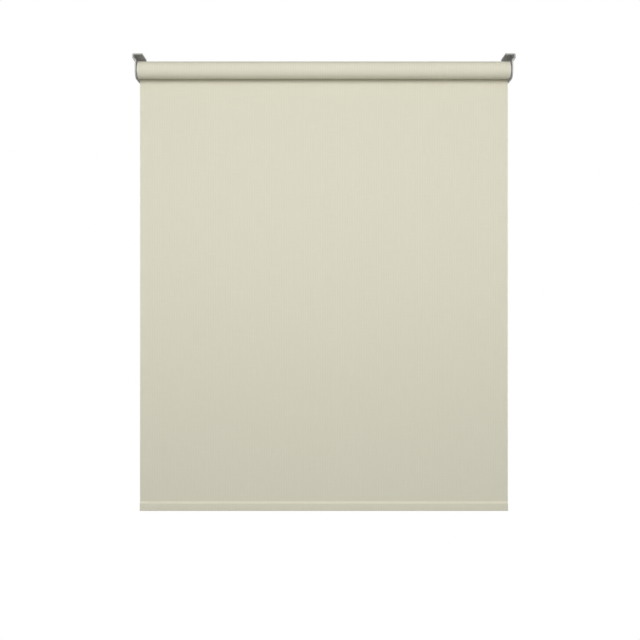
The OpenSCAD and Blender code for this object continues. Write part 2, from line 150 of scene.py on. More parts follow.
class Graph:
    """Shorthand for adding and joining the nodes of one tree."""

    def __init__(self, tree: NodeTree) -> None:
        """Keeps the tree that the nodes go into."""
        self.tree = tree

    def add(self, kind: str, **settings: object) -> Node:
        """Adds a node.

        Args:
            kind: Blender's name for the node's type.
            settings: Properties to set on it.

        Returns:
            The new node.
        """
        node = self.tree.nodes.new(kind)
        for name, value in settings.items():
            setattr(node, name, value)
        return node

    def feed(self, socket: NodeSocket, value: Value) -> None:
        """Joins a socket to another one, or sets its own value.

        Args:
            socket: The input to feed.
            value: Another node's output, or a plain value.
        """
        if isinstance(value, NodeSocket):
            self.tree.links.new(value, socket)
        else:
            socket.default_value = value

    def math(self, operation: str, *values: Value) -> NodeSocket:
        """Adds a sum.

        Args:
            operation: Name of the sum, such as ADD.
            values: What goes in, in order.

        Returns:
            The result.
        """
        node = self.add("ShaderNodeMath", operation=operation)
        for socket, value in zip(node.inputs, values):
            self.feed(socket, value)
        return node.outputs["Value"]

    def blend(self, share: Value, first: Value, second: Value) -> NodeSocket:
        """Mixes two colours.

        Args:
            share: How much of the second colour shows.
            first: Colour at 0.
            second: Colour at 1.

        Returns:
            The mixed colour.
        """
        node = self.add("ShaderNodeMix", data_type="RGBA")
        self.feed(node.inputs["Factor"], share)
        self.feed(node.inputs["A"], first)
        self.feed(node.inputs["B"], second)
        return node.outputs["Result"]

    def noise(self, place: NodeSocket, grain: tuple[float, float, float], detail: float) -> NodeSocket:
        """Adds noise whose grain may be longer one way than the other.

        Args:
            place: Where on the surface.
            grain: Size of the grain along each axis.
            detail: How many finer layers it has.

        Returns:
            A value about 0.5.
        """
        scaled = self.add("ShaderNodeVectorMath", operation="DIVIDE")
        self.feed(scaled.inputs[0], place)
        self.feed(scaled.inputs[1], grain)
        node = self.add("ShaderNodeTexNoise")
        self.feed(node.inputs["Vector"], scaled.outputs["Vector"])
        self.feed(node.inputs["Scale"], 1.0)
        self.feed(node.inputs["Detail"], detail)
        return node.outputs["Fac"]

    def around(self, middle: Value, *swings: tuple[NodeSocket, float]) -> NodeSocket:
        """Swings a value about its middle.

        Args:
            middle: The value with no swing.
            swings: Pairs of a value about 0.5 and how far it swings the result.

        Returns:
            The swung value.
        """
        result = middle
        for value, reach in swings:
            centred = self.math("SUBTRACT", value, HALF)
            result = self.math("MULTIPLY_ADD", centred, reach, result)
        return result

    def use(self, group: NodeTree, **given: Value) -> Node:
        """Places a shader group.

        Args:
            group: The group to place.
            given: Values for its inputs, by name with low lines for spaces.

        Returns:
            The placed group.
        """
        node = self.add("ShaderNodeGroup", node_tree=group)
        for name, value in given.items():
            self.feed(node.inputs[name.replace("_", " ").capitalize()], value)
        return node


def new_group(name: str, given: dict[str, Kind], made: list[str]) -> tuple[Graph, Node, Node]:
    """Starts a shader group.

    Args:
        name: Name of the group.
        given: Its inputs and their kinds.
        made: Its outputs, which are numbers.

    Returns:
        The group's graph, its input node and its output node.
    """
    tree = bpy.data.node_groups.new(name, "ShaderNodeTree")
    for label, kind in given.items():
        tree.interface.new_socket(label, in_out="INPUT", socket_type=kind.value)
    for label in made:
        tree.interface.new_socket(label, in_out="OUTPUT", socket_type=Kind.NUMBER.value)
    return Graph(tree), tree.nodes.new("NodeGroupInput"), tree.nodes.new("NodeGroupOutput")


class SharedEffects:
    """Shader groups that more than one finish uses."""

    def __init__(self) -> None:
        """Builds every group once."""
        self.weave = self.plain_weave()
        self.yarn = self.yarn_tone()
        self.grain = self.mould_grain()
        self.lines = self.drawn_lines()

    def plain_weave(self) -> NodeTree:
        """Builds the height of a plain weave, where warp and weft lie on top by turns.

        Returns:
            The group.
        """
        graph, given, made = new_group(
            "Plain weave", {"Place": Kind.VECTOR, "Thread": Kind.NUMBER}, ["Height"]
        )
        parts = graph.add("ShaderNodeSeparateXYZ")
        graph.feed(parts.inputs[0], given.outputs["Place"])
        counts = [
            graph.math("DIVIDE", parts.outputs[axis], given.outputs["Thread"]) for axis in ("X", "Y")
        ]
        crowns = [
            graph.math("SINE", graph.math("MULTIPLY", graph.math("FRACT", count), math.pi))
            for count in counts
        ]
        cells = graph.math("ADD", *[graph.math("FLOOR", count) for count in counts])
        every_other = 2.0
        weft_on_top = graph.math("FLOORED_MODULO", cells, every_other)
        warp_over = graph.math("MULTIPLY", crowns[0], graph.math("SQRT", crowns[1]))
        weft_over = graph.math("MULTIPLY", crowns[1], graph.math("SQRT", crowns[0]))
        step = graph.math("SUBTRACT", weft_over, warp_over)
        graph.feed(made.inputs["Height"], graph.math("MULTIPLY_ADD", step, weft_on_top, warp_over))
        return graph.tree

    def yarn_tone(self) -> NodeTree:
        """Builds the uneven tone of the yarns: threads both ways, streaks and reed lines down the cloth.

        Returns:
            The group.
        """
        graph, given, made = new_group(
            "Yarn tone",
            {"Place": Kind.VECTOR, "Reed": Kind.NUMBER},
            ["Warp", "Weft", "Streak", "Reed line"],
        )
        place = given.outputs["Place"]
        thread_w, slub_l, streak_w, streak_l = 0.9 * MM, 45 * MM, 4 * MM, 4000 * MM
        thread_detail, streak_detail = 1.0, 2.0
        graph.feed(made.inputs["Warp"], graph.noise(place, (thread_w, slub_l, FLAT_MAP), thread_detail))
        graph.feed(made.inputs["Weft"], graph.noise(place, (slub_l, thread_w, FLAT_MAP), thread_detail))
        streak = graph.noise(place, (streak_w, streak_l, FLAT_MAP), streak_detail)
        graph.feed(made.inputs["Streak"], streak)
        parts = graph.add("ShaderNodeSeparateXYZ")
        graph.feed(parts.inputs[0], place)
        turns = graph.math("DIVIDE", parts.outputs["X"], given.outputs["Reed"])
        wave = graph.math("SINE", graph.math("MULTIPLY", turns, math.tau))
        graph.feed(made.inputs["Reed line"], graph.math("MULTIPLY_ADD", wave, streak, HALF))
        return graph.tree

    def mould_grain(self) -> NodeTree:
        """Builds the fine pebbled grain and the faint clouding of moulded plastic.

        Returns:
            The group.
        """
        graph, given, made = new_group(
            "Mould grain", {"Place": Kind.VECTOR, "Grain": Kind.NUMBER}, ["Height", "Cloud"]
        )
        scaled = graph.add("ShaderNodeVectorMath", operation="DIVIDE")
        graph.feed(scaled.inputs[0], given.outputs["Place"])
        graph.feed(scaled.inputs[1], given.outputs["Grain"])
        pebbles = graph.add("ShaderNodeTexVoronoi", feature="SMOOTH_F1")
        graph.feed(pebbles.inputs["Vector"], scaled.outputs["Vector"])
        graph.feed(pebbles.inputs["Scale"], 1.0)
        graph.feed(made.inputs["Height"], pebbles.outputs["Distance"])
        cloud, detail = 14 * MM, 3.0
        graph.feed(made.inputs["Cloud"], graph.noise(given.outputs["Place"], (cloud, cloud, cloud), detail))
        return graph.tree

    def drawn_lines(self) -> NodeTree:
        """Builds the fine lines that a die leaves along drawn metal, which here runs along X.

        Returns:
            The group.
        """
        graph, given, made = new_group("Drawn lines", {"Place": Kind.VECTOR}, ["Height", "Cloud"])
        place = given.outputs["Place"]
        line_w, line_l, cloud_w, cloud_l, detail = 0.25 * MM, 120 * MM, 9 * MM, 27 * MM, 2.0
        graph.feed(made.inputs["Height"], graph.noise(place, (line_l, line_w, line_w), detail))
        graph.feed(made.inputs["Cloud"], graph.noise(place, (cloud_l, cloud_w, cloud_w), detail))
        return graph.tree


def new_material(name: str) -> tuple[Material, Graph, Node]:
    """Starts a material on one Principled shader.

    Args:
        name: Name of the material.

    Returns:
        The material, its graph and its shader.
    """
    material = bpy.data.materials.new(name)
    material.use_nodes = True
    graph = Graph(material.node_tree)
    return material, graph, material.node_tree.nodes["Principled BSDF"]


def raise_relief(graph: Graph, shader: Node, height: NodeSocket, depth: float) -> None:
    """Gives a shader a small relief.

    Args:
        graph: The material's graph.
        shader: Its shader.
        height: Height over the surface, from 0 to 1.
        depth: Depth of the relief.
    """
    bump = graph.add("ShaderNodeBump")
    graph.feed(bump.inputs["Height"], height)
    graph.feed(bump.inputs["Distance"], depth)
    graph.feed(bump.inputs["Strength"], RELIEF_STRENGTH)
    graph.feed(shader.inputs["Normal"], bump.outputs["Normal"])


def tones(colour: Colour, contrast: float) -> tuple[tuple, tuple]:
    """Spreads a colour into a dark and a light tone.

    Args:
        colour: The middle colour, as the eye meets it.
        contrast: How far each tone lies from it, as a share.

    Returns:
        The dark and the light tone in the shader's scale.
    """
    middle = linear(colour)[:3]
    dark = tuple(part * (1 - contrast) for part in middle)
    light = tuple(part * (1 + contrast) for part in middle)
    return (*dark, 1.0), (*light, 1.0)


@dataclass(frozen=True)
class ClothFinish:
    """Coated plain-weave blackout cloth, seen from one of its sides.

    Each tone says how far its effect swings the colour between the dark and the light tone.
    """

    name: str
    colour: Colour
    weave_depth: float
    roughness: float
    thread: float = 0.725 * MM
    threads_a_reed: int = 8
    contrast: float = 0.16
    warp_tone: float = 0.24
    weft_tone: float = 0.2
    streak_tone: float = 0.06
    reed_tone: float = 0.09
    weave_tone: float = 0.25
    weave_gloss: float = 0.1
    slub_height: float = 0.6
    shine: float = 0.2
    sheen: float = 0.06
    # painted highlight on the hem's slope, as a share of the swing towards the light tone
    highlight_lift: float = 0.6
    weld_rib: float = 1.2 * MM
    weld_height: float = 0.8

    def material(self, effects: SharedEffects) -> Material:
        """Makes the cloth's material from its own map.

        Args:
            effects: The shared shader groups.

        Returns:
            The material.
        """
        material, graph, shader = new_material(self.name)
        place = graph.add("ShaderNodeUVMap", uv_map=CLOTH_MAP).outputs["UV"]
        weave = graph.use(effects.weave, place=place, thread=self.thread).outputs
        yarn = graph.use(effects.yarn, place=place, reed=self.threads_a_reed * self.thread).outputs
        share = graph.around(
            HALF,
            (yarn["Warp"], self.warp_tone),
            (yarn["Weft"], self.weft_tone),
            (yarn["Streak"], self.streak_tone),
            (yarn["Reed line"], self.reed_tone),
            (weave["Height"], self.weave_tone),
        )
        # painted highlight: the hem's marked slope is lightened, standing in for light from above
        wear_and_highlight = graph.add("ShaderNodeAttribute", attribute_name=PAINTED_HIGHLIGHT).outputs["Fac"]
        share = graph.math("MULTIPLY_ADD", wear_and_highlight, self.highlight_lift, share)
        graph.feed(shader.inputs["Base Color"], graph.blend(share, *tones(self.colour, self.contrast)))
        rough = graph.around(self.roughness, (weave["Height"], -self.weave_gloss))
        graph.feed(shader.inputs["Roughness"], rough)
        shader.inputs["Specular IOR Level"].default_value = self.shine
        shader.inputs["Sheen Weight"].default_value = self.sheen
        slubs = [(yarn[way], self.slub_height) for way in ("Warp", "Weft")]
        height = graph.around(weave["Height"], *slubs)
        height = graph.math("ADD", height, self.weld_ribs(graph, place))
        raise_relief(graph, shader, height, self.weave_depth)
        return material

    def weld_ribs(self, graph: Graph, place: NodeSocket) -> NodeSocket:
        """Presses fine ribs across the cloth where it is welded.

        Args:
            graph: The material's graph.
            place: Where on the cloth.

        Returns:
            Height of the ribs.
        """
        parts = graph.add("ShaderNodeSeparateXYZ")
        graph.feed(parts.inputs[0], place)
        wave = graph.math("SINE", graph.math("MULTIPLY", parts.outputs["Y"], math.tau / self.weld_rib))
        welded = graph.add("ShaderNodeAttribute", attribute_name=WELD).outputs["Fac"]
        return graph.math("MULTIPLY", graph.math("MULTIPLY", wave, welded), self.weld_height)


@dataclass(frozen=True)
class MouldedFinish:
    """Satin moulded plastic, rubbed a little lighter along its eased edges."""

    name: str
    colour: Colour
    roughness: float
    grain: float = 0.8 * MM
    grain_depth: float = 0.05 * MM
    contrast: float = 0.12
    cloud_tone: float = 0.9
    grain_tone: float = 0.35
    cloud_gloss: float = 0.12
    grain_gloss: float = 0.06
    edge_lift: float = 2.4
    edge_polish: float = 0.2

    def material(self, effects: SharedEffects) -> Material:
        """Makes the plastic's material.

        Args:
            effects: The shared shader groups.

        Returns:
            The material.
        """
        material, graph, shader = new_material(self.name)
        place = graph.add("ShaderNodeTexCoord").outputs["Object"]
        grain = graph.use(effects.grain, place=place, grain=self.grain).outputs
        share = graph.around(HALF, (grain["Cloud"], self.cloud_tone), (grain["Height"], self.grain_tone))
        wear_and_highlight = graph.add("ShaderNodeAttribute", attribute_name=EDGE_WEAR).outputs["Fac"]
        wear_and_highlight = graph.math("MULTIPLY", wear_and_highlight, grain["Cloud"])
        share = graph.math("MULTIPLY_ADD", wear_and_highlight, self.edge_lift, share)
        graph.feed(shader.inputs["Base Color"], graph.blend(share, *tones(self.colour, self.contrast)))
        rough = graph.around(
            self.roughness, (grain["Cloud"], self.cloud_gloss), (grain["Height"], self.grain_gloss)
        )
        rough = graph.math("MULTIPLY_ADD", wear_and_highlight, -self.edge_polish, rough)
        graph.feed(shader.inputs["Roughness"], rough)
        raise_relief(graph, shader, grain["Height"], self.grain_depth)
        return material


@dataclass(frozen=True)
class MetalFinish:
    """Drawn or extruded metal."""

    name: str
    colour: Colour
    roughness: float
    contrast: float = 0.2
    line_tone: float = 0.4
    cloud_tone: float = 0.3
    line_gloss: float = 0.2
    cloud_gloss: float = 0.1
    line_depth: float = 0.01 * MM

    def material(self, effects: SharedEffects) -> Material:
        """Makes the metal's material.

        Args:
            effects: The shared shader groups.

        Returns:
            The material.
        """
        material, graph, shader = new_material(self.name)
        place = graph.add("ShaderNodeTexCoord").outputs["Object"]
        lines = graph.use(effects.lines, place=place).outputs
        share = graph.around(HALF, (lines["Height"], self.line_tone), (lines["Cloud"], self.cloud_tone))
        graph.feed(shader.inputs["Base Color"], graph.blend(share, *tones(self.colour, self.contrast)))
        rough = graph.around(
            self.roughness, (lines["Height"], self.line_gloss), (lines["Cloud"], self.cloud_gloss)
        )
        graph.feed(shader.inputs["Roughness"], rough)
        shader.inputs["Metallic"].default_value = 1.0
        raise_relief(graph, shader, lines["Height"], self.line_depth)
        return material


CREAM: Colour = (0.848, 0.836, 0.762)
PALE_CUT: Colour = (0.9, 0.89, 0.85)
CLOTH_FACE = ClothFinish("cloth_face", CREAM, weave_depth=0.12 * MM, roughness=0.86)
CLOTH_REVERSE = ClothFinish("cloth_reverse", CREAM, weave_depth=0.06 * MM, roughness=0.78)
CLOTH_EDGE = ClothFinish("cloth_edge", PALE_CUT, weave_depth=0.05 * MM, roughness=0.9)
RIGID_FINISHES = {
    Slot.BRACKET: MouldedFinish("bracket_grey", (0.68, 0.68, 0.67), roughness=0.46),
    Slot.MOULDED: MouldedFinish("fitting_white", (0.89, 0.89, 0.87), roughness=0.42),
    Slot.SHAFT: MetalFinish("shaft_steel", (0.75, 0.76, 0.77), roughness=0.34),
    Slot.SPRING: MetalFinish("spring_steel", (0.66, 0.66, 0.67), roughness=0.38),
    Slot.TUBE: MetalFinish("tube_alloy", (0.89, 0.89, 0.9), roughness=0.36),
}


def take_up(piece: Object) -> None:
    """Makes a piece the one selected and active object."""
    bpy.ops.object.select_all(action="DESELECT")
    piece.select_set(True)
    bpy.context.view_layer.objects.active = piece


@contextmanager
def editing(piece: Object) -> Iterator[None]:
    """Opens edit mode on one piece, with nothing selected in it at first.

    Args:
        piece: The piece to edit.

    Yields:
        Nothing; edit mode ends with the block.
    """
    take_up(piece)
    bpy.ops.object.mode_set(mode="EDIT")
    bpy.ops.mesh.select_all(action="DESELECT")
    yield
    bpy.ops.object.mode_set(mode="OBJECT")


def pick(piece: Object, test: Callable[[Vector], bool]) -> None:
    """Selects, in edit mode, the points that pass a test and what lies between them.

    Args:
        piece: The piece in edit mode.
        test: Says of a point's place whether it is taken.
    """
    mesh = bmesh.from_edit_mesh(piece.data)
    for point in mesh.verts:
        point.select = test(point.co)
    mesh.select_flush(True)
    bmesh.update_edit_mesh(piece.data)


def add_strip(
    name: str, centre: Vector, size: tuple[float, float], cuts: tuple[int, int], standing: bool
) -> Object:
    """Adds a flat grid at its size and place.

    Args:
        name: Name of the piece.
        centre: Middle of the grid.
        size: Its width along X, and its height or depth.
        cuts: How many cells it has each way.
        standing: Whether it stands and faces the front, or lies flat.

    Returns:
        The new piece, with its place in its mesh.
    """
    bpy.ops.object.select_all(action="DESELECT")
    turn = (math.pi / 2 if standing else 0.0, 0.0, 0.0)
    bpy.ops.mesh.primitive_grid_add(
        x_subdivisions=cuts[0], y_subdivisions=cuts[1], size=1, calc_uvs=False,
        location=centre, rotation=turn,
    )
    piece = bpy.context.object
    piece.name = piece.data.name = name
    piece.scale = (*size, 1)
    bpy.ops.object.transform_apply(location=True, rotation=True, scale=True)
    return piece


def turn_about(centre: tuple[float, float], angle: float, steps: int) -> None:
    """Spins what is selected about a line along X.

    Args:
        centre: The line's place in Y and Z.
        angle: How far, from +Y towards +Z.
        steps: Number of steps.
    """
    # The tool counts its angle the other way round.
    bpy.ops.mesh.spin(steps=steps, angle=-angle, center=(0, *centre), axis=(1, 0, 0))


def draw_out(along_y: float, along_z: float) -> None:
    """Extrudes what is selected in a straight line."""
    bpy.ops.mesh.extrude_region_move(TRANSFORM_OT_translate={"value": (0, along_y, along_z)})


def close_up(piece: Object) -> None:
    """Merges a piece's doubles and turns its faces outwards."""
    with editing(piece):
        bpy.ops.mesh.select_all(action="SELECT")
        bpy.ops.mesh.remove_doubles(threshold=MERGE_WITHIN)
        bpy.ops.mesh.normals_make_consistent(inside=False)


def map_flat(piece: Object) -> None:
    """Lays a piece's map on its front and its sides, in metres."""
    with editing(piece):
        bpy.ops.mesh.select_all(action="SELECT")
        bpy.ops.uv.cube_project(cube_size=1.0, correct_aspect=False)
    piece.data.uv_layers.active.name = CLOTH_MAP


def apply_modifier(piece: Object, kind: str, **settings: object) -> None:
    """Adds a modifier and applies it.

    Args:
        piece: The piece that is changed.
        kind: Blender's name for the modifier's type.
        settings: Properties to set on it.
    """
    take_up(piece)
    modifier = piece.modifiers.new(kind.title(), kind)
    for name, value in settings.items():
        setattr(modifier, name, value)
    bpy.ops.object.modifier_apply(modifier=modifier.name)


def shade(piece: Object, angle: float = SMOOTH_ANGLE) -> None:
    """Shades a piece smooth, apart from the edges that turn by more than an angle."""
    take_up(piece)
    bpy.ops.object.shade_smooth_by_angle(angle=angle)


def dress(piece: Object, *materials: Material) -> None:
    """Gives a piece its materials in place of any it has."""
    piece.data.materials.clear()
    for material in materials:
        piece.data.materials.append(material)


def seat(piece: Object, body: Body, slot: Slot, *nodes: str) -> None:
    """Puts a finished piece on its body, in place of the nodes that it stands for.

    Args:
        piece: The finished piece.
        body: The body that carries it.
        slot: The record's slot for its finish; not used.
        nodes: Names of the nodes that it replaces.
    """
    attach(piece, body.value)
    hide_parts(*nodes)
    LOG.info("%s on %s: %d faces", piece.name, body.value, len(piece.data.polygons))


def copy_of(node: Object, name: str) -> Object:
    """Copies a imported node's form into a new piece, with its loose triangles joined.

    Args:
        node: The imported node.
        name: Name of the new piece.

    Returns:
        The new piece.
    """
    piece = bpy.data.objects.new(name, node.data.copy())
    piece.data.name = name
    bpy.context.scene.collection.objects.link(piece)
    with editing(piece):
        bpy.ops.mesh.customdata_custom_splitnormals_clear()
        bpy.ops.mesh.select_all(action="SELECT")
        bpy.ops.mesh.remove_doubles(threshold=MERGE_WITHIN)
    return piece


@dataclass
class ClothMaterials:
    """The two sides of the cloth, and its cut edge."""

    face: Material
    reverse: Material
    edge: Material


def thicken(piece: Object, thickness: float, materials: ClothMaterials) -> None:
    """Gives a sheet its thickness, with its face on the side that it had.

    Args:
        piece: The sheet's middle surface.
        thickness: Thickness of the cloth.
        materials: The cloth's materials.
    """
    dress(piece, materials.face, materials.reverse, materials.edge)
    reverse_slot, edge_slot = 1, 2
    apply_modifier(
        piece, "SOLIDIFY", thickness=thickness, offset=0.0,
        material_offset=reverse_slot, material_offset_rim=edge_slot,
    )
    shade(piece)


@dataclass
class RolledCloth:
    """Turns of cloth on the tube, with the end of the cloth looped round the spline in the groove."""

    axis: Vector
    half_turn_steps: int = 48
    tail_steps: int = 6
    loop_steps: int = 28
    loop_play: float = 0.05 * MM
    loop_angle: float = math.radians(320)

    def build(self, materials: ClothMaterials) -> Object:
        """Winds the cloth from where it leaves the roll inwards to the groove.

        Args:
            materials: The cloth's materials.

        Returns:
            The wound cloth.
        """
        low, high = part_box("cloth_roll")
        drop_low, drop_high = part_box("cloth_drop")
        tube_low, tube_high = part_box("roller_tube")
        thickness = drop_high.y - drop_low.y
        outer_r = (high.y - low.y) / 2
        sway = high.y - outer_r - self.axis.y
        half_pitch = 2 * sway
        core_r = (tube_high.y - tube_low.y) / 2 + 2 * half_pitch
        half_turns = round((outer_r - core_r) / half_pitch)
        start = Vector((0, high.y - thickness / 2, self.axis.z))
        width = high.x - low.x
        piece = add_strip("wound_cloth", start, (width, thickness), (1, 1), standing=False)
        with editing(piece):
            bpy.ops.mesh.select_all(action="SELECT")
            for turn in range(half_turns):
                side = sway if turn % 2 == 0 else -sway
                turn_about((self.axis.y + side, self.axis.z), math.pi, self.half_turn_steps)
            turn_about((self.axis.y - sway, self.axis.z), math.pi / 2, self.half_turn_steps // 2)
            self.tuck_in(outer_r - half_turns * half_pitch, thickness, sway)
        close_up(piece)
        self.map_turns(piece, outer_r)
        shade(piece)
        dress(piece, materials.reverse, materials.edge)
        for face in piece.data.polygons:
            face.material_index = int(abs(face.normal.x) > SIDEWAYS)
        seat(piece, Body.ROLLER, Slot.CLOTH, "cloth_roll")
        return piece

    def tuck_in(self, last_r: float, thickness: float, sway: float) -> None:
        """Turns the cloth's end up through the groove's mouth and round the spline.

        Args:
            last_r: Outer radius of the innermost turn.
            thickness: Thickness of the cloth.
            sway: How far a half turn's centre lies from the axis.
        """
        spline_low, spline_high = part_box("cloth_spline")
        spline = (spline_low + spline_high) / 2
        edge, inside = self.axis.y - sway, self.axis.z - last_r + thickness
        loop_r = (spline_high.y - spline_low.y) / 2 + self.loop_play + thickness
        foot = spline.z - loop_r
        turn_about((edge, inside), math.pi / 2, self.tail_steps)
        draw_out(0, foot - inside)
        turn_about((edge, foot), math.pi / 2, self.tail_steps)
        turn_about((spline.y, spline.z), -self.loop_angle, self.loop_steps)

    def map_turns(self, piece: Object, outer_r: float) -> None:
        """Lays the map round the roll, so that it runs on from the hanging cloth's.

        Args:
            piece: The wound cloth.
            outer_r: Radius of the roll.
        """
        mesh = piece.data
        layer = mesh.uv_layers.new(name=CLOTH_MAP)
        base = self.axis.z + MAP_SHIFT
        for face in mesh.polygons:
            middle = self.angle_of(face.center)
            for corner in face.loop_indices:
                spot = mesh.vertices[mesh.loops[corner].vertex_index].co
                angle = self.angle_of(spot)
                angle += math.tau * round((middle - angle) / math.tau)
                layer.data[corner].uv = (spot.x + MAP_SHIFT, base + outer_r * angle)

    def angle_of(self, spot: Vector) -> float:
        """Angle of a point about the roller's axis, from the back of the roll over its top."""
        return math.atan2(spot.z - self.axis.z, spot.y - self.axis.y)


@dataclass
class HangingCloth:
    """Cloth between the roll and the hem."""

    axis: Vector
    travel: float
    cuts: tuple[int, int] = (56, 64)
    curl: float = 1.2 * MM
    curl_reach: float = 0.11
    waviness: float = 1.0 * MM
    wave_size: float = 0.24
    held_height: float = 0.12
    uncurled_height: float = 0.24

    def build(self, materials: ClothMaterials) -> Object:
        """Hangs the cloth, a little uneven as a real one is.

        Args:
            materials: The cloth's materials.

        Returns:
            The hanging cloth.
        """
        low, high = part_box("cloth_drop")
        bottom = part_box("cloth_hem")[1].z
        width, length = high.x - low.x, self.axis.z - bottom
        centre = Vector((0, (low.y + high.y) / 2, (self.axis.z + bottom) / 2))
        piece = add_strip("hanging_cloth", centre, (width, length), self.cuts, standing=True)
        map_flat(piece)
        self.curl_edges(piece, high.x, bottom)
        self.uneven(piece, bottom)
        thicken(piece, high.y - low.y, materials)
        seat(piece, Body.BRACKETS, Slot.CLOTH, "cloth_drop")
        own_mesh(piece)
        return piece

    def curl_edges(self, piece: Object, edge: float, bottom: float) -> None:
        """Curls the two long edges a little backwards.

        Args:
            piece: The flat cloth.
            edge: Half of its width.
            bottom: Height of its lower end.
        """
        low, high = bottom + self.uncurled_height, self.axis.z - self.uncurled_height
        with editing(piece):
            pick(piece, lambda spot: abs(spot.x) > edge - MM and low < spot.z < high)
            bpy.ops.transform.translate(
                value=(0, self.curl, 0),
                use_proportional_edit=True,
                proportional_edit_falloff="SMOOTH",
                proportional_size=self.curl_reach,
            )

    def uneven(self, piece: Object, bottom: float) -> None:
        """Makes the cloth hang a little unevenly between its held ends.

        Args:
            piece: The cloth.
            bottom: Height of its lower end.
        """
        free = piece.vertex_groups.new(name="free")
        for point in piece.data.vertices:
            from_end = min(self.axis.z - point.co.z, point.co.z - bottom)
            free.add([point.index], min(1.0, from_end / self.held_height) ** 2, "REPLACE")
        texture = bpy.data.textures.new("hang", "CLOUDS")
        texture.noise_scale = self.wave_size
        apply_modifier(
            piece, "DISPLACE", texture=texture, texture_coords="LOCAL", direction="Y",
            strength=self.waviness, mid_level=HALF, vertex_group=free.name,
        )
        piece.vertex_groups.clear()
        bpy.data.textures.remove(texture)


@dataclass
class HemPocket:
    """Pocket welded at the bottom of the cloth, folded from one strip round the bar."""

    weld_height: float = 6 * MM
    slope_height: float = 5 * MM
    soft_r: float = 1.6 * MM
    lower_r: float = 2 * MM
    cuts_across: int = 60
    bend_steps: int = 6

    def build(self, materials: ClothMaterials) -> Object:
        """Folds the pocket.

        Args:
            materials: The cloth's materials.

        Returns:
            The pocket.
        """
        low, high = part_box("cloth_hem")
        drop_low, drop_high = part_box("cloth_drop")
        thickness = drop_high.y - drop_low.y
        route = self.route(low, high, thickness)
        lower_bend = self.lower_r - thickness / 2
        radii = (self.soft_r, self.soft_r, lower_bend, lower_bend)
        width = high.x - low.x
        first = self.weld_height / 2
        centre = Vector((0, 0, high.z - first / 2))
        piece = add_strip("hem_pocket", centre, (width, first), (self.cuts_across, 1), standing=True)
        with editing(piece):
            pick(piece, lambda spot: spot.z < centre.z)
            length = first + self.fold((0.0, high.z - first), route, radii)
        close_up(piece)
        map_flat(piece)
        self.mark_highlight_and_weld(piece, route[0][1], route[1][1])
        thicken(piece, thickness, materials)
        seat(piece, Body.HEM, Slot.CLOTH, "cloth_hem")
        LOG.info("hem strip %.1f mm long", length / MM)
        return piece

    def mark_highlight_and_weld(self, piece: Object, slope_top: float, slope_foot: float) -> None:
        """Marks the slope where the cloth is stretched over the bar, for a painted highlight that stands in
        for light from above, and where it is welded.

        Args:
            piece: The pocket's middle surface.
            slope_top: Height of the fold above the slope.
            slope_foot: Height of the fold below it.
        """
        wear_and_highlight_marks = piece.data.attributes.new(PAINTED_HIGHLIGHT, "FLOAT", "POINT")
        weld = piece.data.attributes.new(WELD, "FLOAT", "POINT")
        for point, wear_and_highlight, welded in zip(piece.data.vertices, wear_and_highlight_marks.data, weld.data):
            # painted highlight: full on the slope between the two folds and fading out across them, lighter
            # where light from above would fall
            above = (slope_top - point.co.z) / self.soft_r + HALF
            below = (point.co.z - slope_foot) / self.soft_r + HALF
            wear_and_highlight.value = min(max(min(above, below), 0.0), 1.0)
            welded.value = float(point.co.z > slope_top + self.soft_r)

    def route(self, low: Vector, high: Vector, thickness: float) -> list[tuple[float, float]]:
        """Works out the corners of the cloth's middle line in Y and Z, from the weld round the bar.

        Args:
            low: Lowest corner of the hem.
            high: Highest corner of the hem.
            thickness: Thickness of the cloth.

        Returns:
            The corners after the start, and the end of the strip.
        """
        half = thickness / 2
        top = high.z - self.weld_height
        front, back, bottom = low.y + half, high.y - half, low.z + half
        lean = (-half - low.y) / self.slope_height
        fall = half * (math.hypot(1, lean) - 1) / lean
        shoulder = top - fall + front / lean
        return [(0.0, top - fall), (front, shoulder), (front, bottom), (back, bottom), (back, high.z)]

    def fold(self, start: tuple[float, float], route: list[tuple[float, float]], radii: tuple) -> float:
        """Draws the selected edge along a route and bends it at each corner.

        Args:
            start: Where the edge is, in Y and Z.
            route: The corners and the end.
            radii: Radius of the bend at each corner.

        Returns:
            Length of the strip that was drawn.
        """
        here, length = Vector(start), 0.0
        for corner, after, radius in zip(route, route[1:], radii):
            ahead = (Vector(corner) - here).normalized()
            then = (Vector(after) - Vector(corner)).normalized()
            turn = math.atan2(ahead.x * then.y - ahead.y * then.x, ahead.dot(then))
            reach = radius * math.tan(abs(turn) / 2)
            stop = Vector(corner) - ahead * reach
            draw_out(*(stop - here))
            side = math.copysign(radius, turn)
            turn_about(tuple(stop + side * Vector((-ahead.y, ahead.x))), turn, self.bend_steps)
            length += (stop - here).length + radius * abs(turn)
            here = Vector(corner) + then * reach
        draw_out(*(Vector(route[-1]) - here))
        return length + (Vector(route[-1]) - here).length


